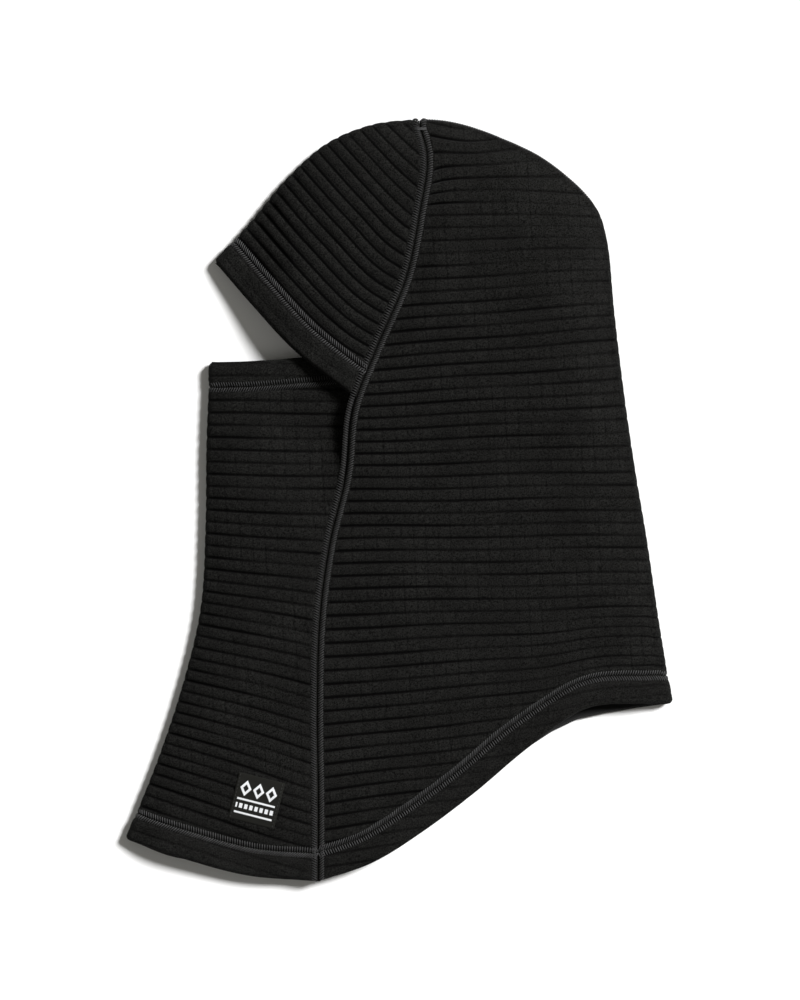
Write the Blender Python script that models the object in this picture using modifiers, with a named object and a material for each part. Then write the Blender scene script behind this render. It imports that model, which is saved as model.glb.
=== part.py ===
"""Fleece balaclava with a crossed face opening, laid flat on its side.

The garment is folded on its centre line, so two layers lie on each other: the far layer (the wearer's
right side) rests on the surface at z = 0, and the near layer (the wearer's left side) lies above it.
Each panel is one piece of fabric that wraps from the near layer round a fold to the far layer.
The face points to -X, the crown to +Y, and +Z is up, off the surface.
Panels, turned hems, seams and stitching share one outer surface and meet edge to edge, GAP apart.
"""

import math

import bpy
import numpy as np

MM = 0.001

# Cloth
FABRIC = 2.0 * MM            # one layer of brushed fleece
TURNED_HEM = 3.6 * MM        # fabric turned in once and pressed flat
SEAM_TAPE = 2.4 * MM         # butted edges with the flatlock threads over them
STITCHING = 3.4 * MM         # hem fabric under the coverstitch threads
GAP = 0.3 * MM
SEAM_GAP = 0.5 * MM          # beside the curved side seams

# Widths on the cloth
SEAM_WIDTH = 7.0 * MM
COVERSTITCH_WIDTH = 5.6 * MM
BROW_HEM_WIDTH = 12.6 * MM
MOUTH_HEM_WIDTH = 11.0 * MM
NECK_HEM_WIDTH = 12.6 * MM
LABEL_SIZE = 26 * MM
LABEL_THICKNESS = 0.8 * MM
LABEL_TILT = math.radians(-14)
CARE_LABEL_SIZE = (18 * MM, 32 * MM)
CARE_LABEL_THICKNESS = 0.6 * MM

# Heights above the surface
FOLD_RADIUS = 3.9 * MM       # outer radius of every fold
NECK_HEIGHT = 14.0 * MM      # top of the near layer over the neck
HOOD_HEIGHT = 19.0 * MM      # top of the near layer over the hood
BROW_SAG = 7.0 * MM          # how much lower the brow hem lies, in front of the mouth hem
BROW_SAG_REACH = 60.0 * MM   # and how far up the brow panel that carries
BROW_SAG_END = (-92.0 * MM, -57.0 * MM)
TUCK_HEIGHT = 11.6 * MM      # top of the mouth hem where it passes under the brow hem
TUCK_LIFT = 3.9 * MM         # lift of the far mouth hem, over the far brow hem
RISE_LENGTH = 16.0 * MM      # distance from a fold over which the near layer rises
HOOD_START = (0.0 * MM, 80.0 * MM)
TUCK_START = (0.0 * MM, 45.0 * MM)
TUCK_REACH = (-26.0 * MM, -6.0 * MM)

# Outlines of the garment as it lies, in millimetres
BROW_FOLD = [(-101.5, 131.5), (-82, 153), (-62, 177), (-40, 196.5), (-15, 207), (10.7, 210)]
CROWN_EDGE = [(10.7, 210), (32, 208), (56, 200), (82, 187), (106.4, 165)]
BACK_FOLD = [
    (106.4, 165), (115, 143), (119, 104), (124, 62), (130, 20), (137, -22), (143.5, -66), (151, -112),
]
FRONT_FOLD = [
    (-104.2, 76), (-106, 30), (-106.5, -14), (-109, -58), (-118, -98), (-132, -141), (-150.4, -187),
]
FRONT_NECK_EDGE = [(-150.4, -187), (-122, -196), (-84, -206.4), (-44.3, -210)]
BACK_NECK_EDGE = [
    (-44.3, -210), (-14, -199.4), (14, -182), (42, -161),
    (70, -137.6), (97, -121.6), (124, -116), (151, -112),
]
BROW_EDGE = [(-101.5, 131.5), (-81.7, 108.5), (-57, 82), (-24, 56)]
MOUTH_EDGE = [(-104.2, 76), (-80, 76.5), (-52, 78.6), (-20, 82)]
SIDE_SEAM = [
    (10.7, 210), (15.6, 187), (11.8, 159.5), (4, 122), (-12, 84), (-25, 50), (-29, 14),
    (-38, -24), (-43.5, -66), (-44.8, -114), (-44.3, -162), (-44.3, -210),
]
LABEL_CENTRE = (-78, -165)
CARE_LABEL_CORNER = (-38, -150)

FOLD_STEPS = 6
EXTENSION = 30 * MM          # straight run added to both ends of a shifted line
BACK_COLUMNS = 8
BACK_ROWS = 20
CROWN_ROWS = 8
BROW_COLUMNS = 7
BROW_ROWS = 10
FRONT_COLUMNS = 8
FRONT_ROWS = 18
SEAM_ROWS = 32
CROWN_SEAM = 50              # degrees from the fold's edge to each side of the crown seam
CROWN_SLOT = 58              # and to the edges of the back panel beside it
EDGE_STRIP = 4               # narrow facet along each of those edges, which keeps them square
SEAM_END = 4.5               # degrees from the crown's edge at which each side seam ends
CORNER_RUN = 13 * MM         # stretch of side seam that closes each panel at the crown
CORNER_SEAM_RUN = 45 * MM    # place on the side seam level with the end of the crown seam
ROUGHNESS = 0.95

COLOURS = {
    "fabric": (0.018, 0.018, 0.018),
    "hem": (0.016, 0.016, 0.016),
    "seam": (0.03, 0.03, 0.03),
    "thread": (0.075, 0.075, 0.078),
    "label": (0.05, 0.05, 0.052),
    "care": (0.55, 0.55, 0.54),
}


def smooth(points, steps=8):
    """A Catmull-Rom curve through the points, as a dense line of points in metres."""
    p = np.array(points, float) * MM
    p = np.vstack([2 * p[0] - p[1], p, 2 * p[-1] - p[-2]])
    t = np.linspace(0, 1, steps, endpoint=False)[:, None]
    runs = [
        0.5 * (2 * b + (c - a) * t + (2 * a - 5 * b + 4 * c - d) * t**2 + (3 * b - a - 3 * c + d) * t**3)
        for a, b, c, d in zip(p, p[1:], p[2:], p[3:])
    ]
    return np.vstack(runs + [p[-2:-1]])


def length_along(line):
    return np.r_[0, np.cumsum(np.linalg.norm(np.diff(line, axis=0), axis=1))]


def at(line, where):
    """Points at these distances along a line."""
    run = length_along(line)
    return np.stack([np.interp(where, run, line[:, k]) for k in (0, 1)], -1)


def normals(line, where):
    """Unit normals on the left of a line, at these distances along it."""
    step = 0.5 * MM
    ahead = at(line, np.asarray(where) + step) - at(line, np.asarray(where) - step)
    ahead /= np.linalg.norm(ahead, axis=-1, keepdims=True)
    return np.stack([-ahead[..., 1], ahead[..., 0]], -1)


def nearest(line, point):
    """Distance along the line at which it passes closest to a point."""
    run = length_along(line)
    fine = np.linspace(0, run[-1], 2000)
    return fine[np.linalg.norm(at(line, fine) - point, axis=1).argmin()]


def extended(line, by=EXTENSION):
    start = line[0] + (line[0] - line[1]) / np.linalg.norm(line[0] - line[1]) * by
    end = line[-1] + (line[-1] - line[-2]) / np.linalg.norm(line[-1] - line[-2]) * by
    return np.vstack([start, line, end])


def shifted(line, by):
    """The line moved to its left by a distance, and carried on straight past both ends."""
    run = length_along(line)
    inside = np.clip(run, 0.6 * MM, run[-1] - 0.6 * MM)
    return extended(line + normals(line, inside) * by)


def crossing(line, other):
    """Distance along the line at which it first crosses the other one."""
    p, r = line[:-1, None], np.diff(line, axis=0)[:, None]
    q, s = other[None, :-1], np.diff(other, axis=0)[None]
    cross = r[..., 0] * s[..., 1] - r[..., 1] * s[..., 0]
    cross = np.where(np.abs(cross) < 1e-15, 1e-15, cross)
    w = q - p
    t = (w[..., 0] * s[..., 1] - w[..., 1] * s[..., 0]) / cross
    u = (w[..., 0] * r[..., 1] - w[..., 1] * r[..., 0]) / cross
    hit = (t >= 0) & (t <= 1) & (u >= 0) & (u <= 1)
    first, _ = np.argwhere(hit)[0]
    here = t[first][hit[first]].min()
    run = length_along(line)
    return run[first] + here * (run[first + 1] - run[first])


def eased(x, span):
    """0 before the span, 1 after it, and smooth between."""
    t = np.clip((x - span[0]) / (span[1] - span[0]), 0, 1)
    return t * t * (3 - 2 * t)


def distance_to(points, line):
    a, b = line[:-1], line[1:]
    along = b - a
    w = points[..., None, :] - a
    t = np.clip((w * along).sum(-1) / (along**2).sum(-1), 0, 1)
    return np.linalg.norm(w - t[..., None] * along, axis=-1).min(-1)


# The garment's outline, anticlockwise past the face: down the front, or over the crown and down the back
rear_outline = smooth(BROW_FOLD + CROWN_EDGE[1:] + BACK_FOLD[1:])
front_outline = smooth(FRONT_FOLD)

# Lines on which the folds' arcs end, one fold radius inside the outline
rear_fold = shifted(rear_outline, -FOLD_RADIUS)
front_fold = shifted(front_outline, FOLD_RADIUS)

seam_line = smooth(SIDE_SEAM)
half_seam = SEAM_WIDTH / 2
seam_front = shifted(seam_line, -half_seam - SEAM_GAP)
seam_back = shifted(seam_line, half_seam + SEAM_GAP)
brow_edge = extended(smooth(BROW_EDGE))
mouth_edge = extended(smooth(MOUTH_EDGE))
neck_line = np.vstack([smooth(FRONT_NECK_EDGE), smooth(BACK_NECK_EDGE)[1:]])
neck_edge = extended(neck_line)


def rear_height(xy):
    """Top of the near layer over the brow and back panels."""
    top = NECK_HEIGHT + (HOOD_HEIGHT - NECK_HEIGHT) * eased(xy[..., 1], HOOD_START)
    near_hem = 1 - eased(distance_to(xy, brow_edge), (0, BROW_SAG_REACH))
    top = top - BROW_SAG * near_hem * (1 - eased(xy[..., 0], BROW_SAG_END))
    inside = distance_to(xy, rear_fold)
    return 2 * FOLD_RADIUS + (top - 2 * FOLD_RADIUS) * (1 - np.exp(-inside / RISE_LENGTH))


def front_height(xy):
    """Top of the near layer over the neck and mouth panel, which tucks under the brow panel."""
    top = NECK_HEIGHT + (TUCK_HEIGHT - NECK_HEIGHT) * eased(xy[..., 1], TUCK_START)
    inside = distance_to(xy, front_fold)
    return 2 * FOLD_RADIUS + (top - 2 * FOLD_RADIUS) * (1 - np.exp(-inside / RISE_LENGTH))


def rear_floor(xy):
    return np.zeros(xy.shape[:-1])


def front_floor(xy):
    """Underside of the far layer of the neck and mouth panel, lifted over the far brow hem."""
    start = at(brow_edge, 0.0)
    way = at(brow_edge, length_along(brow_edge)[-1]) - start
    across = np.array([-way[1], way[0]]) / np.linalg.norm(way)
    middle = at(brow_edge, length_along(brow_edge)[-1] * 0.7)
    return TUCK_LIFT * eased((xy - middle) @ across, TUCK_REACH)


def coons(bottom, top, left, right):
    """Points that fill the space between four edges, as rows from bottom to top."""
    u = np.linspace(0, 1, len(bottom))[None, :, None]
    v = np.linspace(0, 1, len(left))[:, None, None]
    across = (1 - v) * bottom[None] + v * top[None]
    along = (1 - u) * left[:, None] + u * right[:, None]
    corners = (1 - v) * ((1 - u) * bottom[0] + u * bottom[-1]) + v * ((1 - u) * top[0] + u * top[-1])
    return across + along - corners


def spaced(line, start, end, count):
    return at(line, np.linspace(start, end, count + 1))


def between_lines(fold, inner, low, high, columns, rows):
    """Rows of points from a fold to an inner edge, between a low and a high line. Also the
    distances along the fold at which the rows start."""
    bottom = spaced(low, crossing(low, fold), crossing(low, inner), columns)
    top = spaced(high, crossing(high, fold), crossing(high, inner), columns)
    starts = np.linspace(crossing(fold, low), crossing(fold, high), rows + 1)
    left = at(fold, starts)
    right = spaced(inner, crossing(inner, low), crossing(inner, high), rows)
    return coons(bottom, top, left, right), starts


def fold_angles():
    return np.linspace(-math.pi / 2, math.pi / 2, FOLD_STEPS + 1)


def fold_arc(fold, starts, outward, angles):
    """The half round of a fold, from the far layer to the near one, at each start."""
    centre = at(fold, starts)[:, None]
    reach = FOLD_RADIUS * np.cos(angles)[None, :, None]
    plan = centre + normals(fold, starts)[:, None] * outward * reach
    height = np.broadcast_to(FOLD_RADIUS * (1 + np.sin(angles)), plan.shape[:2])
    return np.dstack([plan, height])


def wrapped(plan, starts, fold, outward, height, floor, angles=None):
    """The outer surface of a piece that wraps from the far layer round a fold to the near one."""
    far = np.dstack([plan, floor(plan)])[:, :0:-1]
    near = np.dstack([plan, height(plan)])[:, 1:]
    arc = fold_arc(fold, starts, outward, fold_angles() if angles is None else angles)
    return np.concatenate([far, arc, near], axis=1)


def material(finish):
    """The material of that name, made on first use."""
    made = bpy.data.materials.get(finish)
    if made is None:
        made = bpy.data.materials.new(finish)
        made.use_nodes = True
        shader = made.node_tree.nodes["Principled BSDF"]
        shader.inputs["Base Color"].default_value = (*COLOURS[finish], 1)
        shader.inputs["Roughness"].default_value = ROUGHNESS
        shader.inputs["Metallic"].default_value = 0.0
    return made


def cloth(name, surface, thickness, finish, parent, missing=None, faces_down=False):
    """A closed piece of cloth: an outer surface made of rows of points, thickened inwards."""
    rows, columns = surface.shape[:2]
    faces = [
        (r * columns + c, r * columns + c + 1, (r + 1) * columns + c + 1, (r + 1) * columns + c)
        for r in range(rows - 1)
        for c in range(columns - 1)
        if missing is None or not missing(r, c)
    ]
    used = sorted({corner for face in faces for corner in face})
    renumbered = {old: new for new, old in enumerate(used)}
    points = surface.reshape(-1, 3)[used] - np.array(parent.location)
    mesh = bpy.data.meshes.new(name)
    mesh.from_pydata(points.tolist(), [], [[renumbered[corner] for corner in face] for face in faces])
    near_face = mesh.polygons[-1]
    if (near_face.normal.z < 0) != faces_down:
        mesh.flip_normals()
    mesh.materials.append(material(finish))
    piece = bpy.data.objects.new(name, mesh)
    parts.objects.link(piece)
    piece.parent = parent
    solid = piece.modifiers.new("thickness", "SOLIDIFY")
    solid.thickness = thickness
    solid.offset = -1
    solid.use_even_offset = True
    return piece


def holder(name, xy=(0, 0)):
    """An empty that a body's pieces hang on. A moving body's empty stands on its hinge axis."""
    empty = bpy.data.objects.new(name, None)
    empty.location = (xy[0], xy[1], 0)
    parts.objects.link(empty)
    return empty


def hem(name, line, width, fold, outward, inner, height, floor, columns, parent):
    """A turned hem along a garment edge, and the coverstitch that holds it, as wrapped strips."""
    stitching = name + "_stitching"
    inside = math.copysign(1, width)
    bands = [
        (name, 0, width, TURNED_HEM, "hem"),
        (stitching, width + inside * GAP, width + inside * COVERSTITCH_WIDTH, STITCHING, "thread"),
    ]
    for piece, start, end, thickness, finish in bands:
        low, high = shifted(line, start), shifted(line, end)
        plan, starts = between_lines(fold, inner, low, high, columns, 1)
        surface = wrapped(plan, starts, fold, outward, height, floor)
        cloth(piece, surface, thickness, finish, parent)


def past_hem(line, width):
    """The line on which the panel beyond a hem and its coverstitch starts."""
    return shifted(line, width + math.copysign(COVERSTITCH_WIDTH + GAP, width))


def on_line(line, other):
    return at(line, crossing(line, other))


def make_front(garment, mouth_cover):
    low, high = past_hem(neck_edge, NECK_HEM_WIDTH), past_hem(mouth_edge, -MOUTH_HEM_WIDTH)
    plan, starts = between_lines(front_fold, seam_front, low, high, FRONT_COLUMNS, FRONT_ROWS)
    surface = wrapped(plan, starts, front_fold, -1, front_height, front_floor)
    cloth("front_neck_panel", surface, FABRIC, "fabric", garment)
    shape = (front_fold, -1, seam_front, front_height, front_floor, FRONT_COLUMNS)
    hem("mouth_hem", mouth_edge, -MOUTH_HEM_WIDTH, *shape, mouth_cover)
    hem("front_neck_hem", neck_edge, NECK_HEM_WIDTH, *shape, garment)


def to_crown(low, inner, columns, rows, corner=None):
    """Rows of a panel that ends at the crown, where its last row lies along the side seam.
    With a corner, a distance along the fold, half of the rows are above it."""
    seam_top = crossing(inner, rear_fold)
    last = crossing(rear_fold, inner)
    first = crossing(rear_fold, low)
    bottom = spaced(low, crossing(low, rear_fold), crossing(low, inner), columns)
    top = spaced(inner, seam_top, seam_top + CORNER_RUN, columns)
    if corner is None:
        starts = np.linspace(first, last, rows + 1)
        ends = np.linspace(crossing(inner, low), seam_top + CORNER_RUN, rows + 1)
    else:
        below, above = rows
        level = seam_top + CORNER_SEAM_RUN
        starts = np.r_[np.linspace(first, corner, below + 1), np.linspace(corner, last, above + 1)[1:]]
        ends = np.r_[
            np.linspace(crossing(inner, low), level, below + 1),
            np.linspace(level, seam_top + CORNER_RUN, above + 1)[1:],
        ]
    return coons(bottom, top, at(rear_fold, starts), at(inner, ends)), starts


def make_brow(garment, brow):
    plan, starts = to_crown(past_hem(brow_edge, BROW_HEM_WIDTH), seam_front, BROW_COLUMNS, BROW_ROWS)
    surface = wrapped(plan, starts, rear_fold, 1, rear_height, rear_floor)
    cloth("brow_panel", surface, FABRIC, "fabric", garment)
    shape = (rear_fold, 1, seam_front, rear_height, rear_floor, BROW_COLUMNS)
    hem("brow_hem", brow_edge, BROW_HEM_WIDTH, *shape, brow)


def make_back(garment):
    low = past_hem(neck_edge, NECK_HEM_WIDTH)
    corner = nearest(rear_fold, np.array(BACK_FOLD[0]) * MM)
    rows = (BACK_ROWS, CROWN_ROWS)
    plan, starts = to_crown(low, seam_back, BACK_COLUMNS, rows, corner)
    half = np.radians([CROWN_SLOT / 2, CROWN_SLOT, CROWN_SLOT + EDGE_STRIP, 72, 90])
    angles = np.r_[-half[::-1], 0, half]
    surface = wrapped(plan, starts, rear_fold, 1, rear_height, rear_floor, angles)
    slot_columns = [BACK_COLUMNS + column for column in (3, 4, 5, 6)]
    cloth(
        "back_panel", surface, FABRIC, "fabric", garment,
        missing=lambda row, column: row >= BACK_ROWS and column in slot_columns,
    )
    seam_starts = starts[BACK_ROWS:].copy()
    seam_starts[0] -= SEAM_GAP
    half = np.radians([CROWN_SEAM / 2, CROWN_SEAM - EDGE_STRIP, CROWN_SEAM])
    angles = np.r_[-half[::-1], 0, half]
    surface = fold_arc(rear_fold, seam_starts, 1, angles)
    cloth("crown_seam", surface, SEAM_TAPE, "seam", garment)
    hem("back_neck_hem", neck_edge, NECK_HEM_WIDTH, rear_fold, 1, seam_back, rear_height, rear_floor,
        BACK_COLUMNS, garment)


def make_side_seam(name, garment, near):
    """A flatlock seam from the neck hem up to the crown, where it turns over the fold's edge."""
    angles = np.radians([60, 30, SEAM_END + EDGE_STRIP, SEAM_END]) * (1 if near else -1)
    columns = []
    for across in np.linspace(-half_seam, half_seam, 3):
        line = shifted(seam_line, across)
        plan = spaced(line, crossing(line, neck_edge), crossing(line, rear_fold), SEAM_ROWS)
        height = rear_height(plan) if near else rear_floor(plan)
        flat = np.column_stack([plan, height])
        arc = fold_arc(rear_fold, [crossing(rear_fold, line)], 1, angles)[0]
        columns.append(np.vstack([flat, arc]))
    surface = np.stack(columns, axis=1)
    cloth(name, surface[::-1], SEAM_TAPE, "seam", garment, faces_down=not near)


def make_labels(garment):
    half = LABEL_SIZE / 2
    across, up = np.meshgrid(np.linspace(-half, half, 5), np.linspace(-half, half, 5))
    turned = np.stack([
        across * math.cos(LABEL_TILT) - up * math.sin(LABEL_TILT),
        across * math.sin(LABEL_TILT) + up * math.cos(LABEL_TILT),
    ], -1)
    plan = turned + np.array(LABEL_CENTRE) * MM
    top = front_height(plan) + GAP + LABEL_THICKNESS
    cloth("woven_label", np.dstack([plan, top]), LABEL_THICKNESS, "label", garment)
    width, length = CARE_LABEL_SIZE
    across, up = np.meshgrid(np.linspace(0, width, 3), np.linspace(0, length, 5))
    plan = np.stack([across, up], -1) + np.array(CARE_LABEL_CORNER) * MM
    top = rear_height(plan) - FABRIC - GAP
    cloth("care_label", np.dstack([plan, top]), CARE_LABEL_THICKNESS, "care", garment)


for old in list(bpy.data.objects):
    bpy.data.objects.remove(old)
parts = bpy.data.collections.new("Balaclava")
bpy.context.scene.collection.children.link(parts)

garment = holder("garment")
brow = holder("brow_pivot", on_line(seam_front, past_hem(brow_edge, BROW_HEM_WIDTH)))
mouth_cover = holder("mouth_pivot", on_line(seam_front, past_hem(mouth_edge, -MOUTH_HEM_WIDTH)))

make_back(garment)
make_brow(garment, brow)
make_front(garment, mouth_cover)
make_side_seam("left_side_seam", garment, near=True)
make_side_seam("right_side_seam", garment, near=False)
make_labels(garment)
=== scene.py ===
"""The looks of a ribbed fleece balaclava that lies flat on its side, folded on its centre line.

The near layer is the wearer's left side, with the label, and the far layer lies on the floor. Every
cloth piece is a closed shell: an outer surface in rows and columns, with real ribs, and an inner one.
"""

import math

import bpy
import numpy as np
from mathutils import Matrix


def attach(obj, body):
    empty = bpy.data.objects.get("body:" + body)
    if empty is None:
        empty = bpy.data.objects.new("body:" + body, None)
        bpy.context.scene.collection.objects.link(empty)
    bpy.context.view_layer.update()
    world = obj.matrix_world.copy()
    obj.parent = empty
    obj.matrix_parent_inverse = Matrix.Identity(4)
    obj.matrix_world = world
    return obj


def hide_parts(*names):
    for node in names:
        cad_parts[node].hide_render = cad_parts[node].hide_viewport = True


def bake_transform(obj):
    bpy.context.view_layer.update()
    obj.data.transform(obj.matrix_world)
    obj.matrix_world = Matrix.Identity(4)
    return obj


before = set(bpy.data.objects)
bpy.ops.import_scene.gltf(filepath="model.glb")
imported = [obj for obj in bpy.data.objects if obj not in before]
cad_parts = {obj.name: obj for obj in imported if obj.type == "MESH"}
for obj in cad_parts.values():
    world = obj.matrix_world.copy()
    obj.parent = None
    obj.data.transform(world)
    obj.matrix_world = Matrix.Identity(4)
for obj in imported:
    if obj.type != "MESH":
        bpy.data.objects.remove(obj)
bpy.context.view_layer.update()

MM = 0.001

# Cloth, close to the CAD model's, with the near neck hem a little lower
FABRIC = 2.0 * MM
HEM_THICKNESS = 3.7 * MM
FOLD_RADIUS = 3.9 * MM
NECK_HEIGHT = 14.0 * MM
HOOD_HEIGHT = 19.0 * MM
BROW_SAG = 7.0 * MM
BROW_SAG_REACH = 60.0 * MM
BROW_SAG_END = (-92.0 * MM, -57.0 * MM)
NECK_SAG = 3.0 * MM
NECK_SAG_REACH = 50.0 * MM
NECK_SAG_START = (-125.0 * MM, -85.0 * MM)
NECK_SAG_END = (40.0 * MM, 100.0 * MM)
TUCK_HEIGHT = 11.3 * MM
TUCK_LIFT = 3.9 * MM
RISE_LENGTH = 16.0 * MM
HOOD_START = (0.0, 80 * MM)
TUCK_START = (-8 * MM, 45 * MM)
TUCK_REACH = (-26 * MM, -6 * MM)
HEM_WIDTHS = {"brow": 12.6 * MM, "mouth": 11.0 * MM, "neck": 12.6 * MM}
COVERSTITCH_WIDTH = 5.6 * MM
EXTENSION = 30 * MM

# Outlines of the garment as it lies, in millimetres
BROW_FOLD = [(-101.5, 131.5), (-82, 153), (-62, 177), (-40, 196.5), (-15, 207), (10.7, 210)]
CROWN_EDGE = [(10.7, 210), (32, 208), (56, 200), (82, 187), (106.4, 165)]
BACK_FOLD = [
    (106.4, 165), (115, 143), (119, 104), (124, 62), (130, 20), (137, -22), (143.5, -66), (151, -112),
]
FRONT_FOLD = [
    (-104.2, 76), (-106, 30), (-106.5, -14), (-109, -58), (-118, -98), (-132, -141), (-150.4, -187),
]
FRONT_NECK_EDGE = [(-150.4, -187), (-122, -196), (-84, -206.4), (-44.3, -210)]
BACK_NECK_EDGE = [
    (-44.3, -210), (-14, -199.4), (14, -182), (42, -161),
    (70, -137.6), (97, -121.6), (124, -116), (151, -112),
]
BROW_EDGE = [(-101.5, 131.5), (-81.7, 108.5), (-57, 82), (-24, 56)]
MOUTH_EDGE = [(-104.2, 76), (-80, 76.5), (-52, 78.6), (-20, 82)]
SIDE_SEAM = [
    (10.7, 210), (15.6, 187), (11.8, 159.5), (4, 122), (-12, 84), (-25, 50), (-29, 14),
    (-38, -24), (-43.5, -66), (-44.8, -114), (-44.3, -162), (-44.3, -210),
]

# Ribs: one groove every RIB_PITCH, and the slope of the ribs against height, in millimetres
RIB_PITCH = 6.8 * MM
BROW_RIB_PITCH = 6.4 * MM
RIB_DEPTH = 0.95 * MM
BACK_RIB_SLOPE = [
    (-185, 0.14), (-148, 0.12), (-110, 0.09), (-82, 0.05), (-50, 0.01), (0, 0.015),
    (33, 0.035), (66, 0.065), (99, 0.09), (132, 0.05), (165, -0.03), (192, -0.03),
]
FRONT_RIB_SLOPE = [
    (-190, -0.3), (-160, -0.34), (-130, -0.29), (-99, -0.23), (-66, -0.19), (-40, -0.1),
    (-16, -0.06), (10, -0.01), (80, 0.0),
]

# Grid of a cloth piece: rows run from a hem up, and columns from the fold to the side seam
ROW_STEP = 1.0 * MM
ARC_STEPS = 12
CORNER_RUN = 13 * MM          # stretch of side seam that closes each panel at the crown
EDGE_OFFSETS = np.array([0, 0.15, 0.4, 0.8, 1.3, 1.9, 2.6, 3.4]) * MM
SEAM_OFFSETS = np.array([0, 0.5, 1.0, 1.6, 2.3, 3.2, 4.2]) * MM
NEAR_COLUMNS = np.r_[np.linspace(0, 1 - 5.5 / 150, 62), 1 - SEAM_OFFSETS[::-1] / (150 * MM)]
FAR_COLUMNS = np.r_[np.linspace(0, 1 - 5.5 / 150, 27), 1 - SEAM_OFFSETS[::2][::-1] / (150 * MM)]

# Stitches and labels
STITCH_PITCH = 1.38 * MM
HEM_THREAD_RADIUS = 0.26 * MM
SEAM_THREAD_RADIUS = 0.29 * MM
CROWN_THREAD_RADIUS = 0.3 * MM
BINDING_RADIUS = 0.27 * MM
TACK_RADIUS = 0.14 * MM
BINDING_PLACES = np.array([7.4, 8.0, 8.6]) * MM     # distances down the seam from the crown's edge
SUNK_THREADS = 0.88          # radius at which hem threads go round a fold, as a share of the cloth's
SUNK_BACKING = 0.55          # the same for the tape inside the side seams
LABEL_SIZE = 26 * MM
LABEL_THICKNESS = 0.8 * MM
LABEL_TILT = math.radians(-14)
LABEL_CENTRE = (-78, -165)
CARE_LABEL_SIZE = (18 * MM, 32 * MM)
CARE_LABEL_THICKNESS = 0.6 * MM
CARE_LABEL_CORNER = (-38, -150)

# Colours
FLEECE_COLOUR = (0.0069, 0.0069, 0.0065)
LINING_COLOUR = (0.004, 0.004, 0.004)
HEM_THREAD_COLOUR = (0.036, 0.036, 0.037)
# The darker seam thread's colour, also used on the mouth hem's stitches as painted shade
SEAM_THREAD_AND_SHADE_COLOUR = (0.016, 0.016, 0.0165)

# Camera and light
VIEW_HEIGHT = 550 * MM
VIEW_CENTRE = (0.8 * MM, 0.0)
CAMERA_HEIGHT = 2.0
KEY_STRENGTH = 5.8
FILL_POWER = 6.0
WORLD_STRENGTH = 0.12
WORLD_COLOUR = (1.0, 0.975, 0.86, 1)
KEY_PLACE = (1.0, 0.6, 1.02)
FILL_PLACE = (-1.2, -0.8, 2.4)
KEY_ANGLE = math.radians(16)
FILL_SIZE = 2.5


# ---- Lines in the plan

def smooth(points, steps=16):
    """A Catmull-Rom curve through points in millimetres, as a dense line in metres."""
    p = np.array(points, float) * MM
    p = np.vstack([2 * p[0] - p[1], p, 2 * p[-1] - p[-2]])
    t = np.linspace(0, 1, steps, endpoint=False)[:, None]
    runs = [
        0.5 * (2 * b + (c - a) * t + (2 * a - 5 * b + 4 * c - d) * t**2 + (3 * b - a - 3 * c + d) * t**3)
        for a, b, c, d in zip(p, p[1:], p[2:], p[3:])
    ]
    return np.vstack(runs + [p[-2:-1]])


def length_along(line):
    return np.r_[0, np.cumsum(np.linalg.norm(np.diff(line, axis=0), axis=1))]


def at(line, where):
    run = length_along(line)
    return np.stack([np.interp(where, run, line[:, k]) for k in range(line.shape[1])], -1)


def normals(line, where):
    """Unit normals on the left of a line, at these distances along it."""
    step = 1.5 * MM
    ahead = at(line, np.asarray(where) + step) - at(line, np.asarray(where) - step)
    ahead /= np.linalg.norm(ahead, axis=-1, keepdims=True)
    return np.stack([-ahead[..., 1], ahead[..., 0]], -1)


def extended(line, by=EXTENSION):
    start = line[0] + (line[0] - line[1]) / np.linalg.norm(line[0] - line[1]) * by
    end = line[-1] + (line[-1] - line[-2]) / np.linalg.norm(line[-1] - line[-2]) * by
    return np.vstack([start, line, end])


def shifted(line, by):
    """The line moved to its left by a distance, and carried on straight past both ends."""
    run = length_along(line)
    inside = np.clip(run, 2 * MM, run[-1] - 2 * MM)
    return extended(line + normals(line, inside) * by)


def crossing(line, other):
    """Distance along the line at which it first crosses the other one."""
    p, r = line[:-1, None], np.diff(line, axis=0)[:, None]
    q, s = other[None, :-1], np.diff(other, axis=0)[None]
    cross = r[..., 0] * s[..., 1] - r[..., 1] * s[..., 0]
    cross = np.where(np.abs(cross) < 1e-15, 1e-15, cross)
    w = q - p
    t = (w[..., 0] * s[..., 1] - w[..., 1] * s[..., 0]) / cross
    u = (w[..., 0] * r[..., 1] - w[..., 1] * r[..., 0]) / cross
    hit = (t >= 0) & (t <= 1) & (u >= 0) & (u <= 1)
    first, _ = np.argwhere(hit)[0]
    here = t[first][hit[first]].min()
    run = length_along(line)
    return run[first] + here * (run[first + 1] - run[first])


def eased(x, span):
    """0 before the span, 1 after it, and smooth between."""
    t = np.clip((x - span[0]) / (span[1] - span[0]), 0, 1)
    return t * t * (3 - 2 * t)


def distance_to(points, line):
    """Distance of each point to the nearest stretch of a line."""
    flat = points.reshape(-1, 2)
    a, along = line[:-1], np.diff(line, axis=0)
    best = np.full(len(flat), np.inf)
    for start, way in zip(a, along):
        w = flat - start
        t = np.clip(w @ way / (way @ way), 0, 1)
        np.minimum(best, np.linalg.norm(w - t[:, None] * way, axis=1), out=best)
    return best.reshape(points.shape[:-1])


def bell(x, centre, width):
    return np.exp(-(((x - centre) / width) ** 2))


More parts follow.
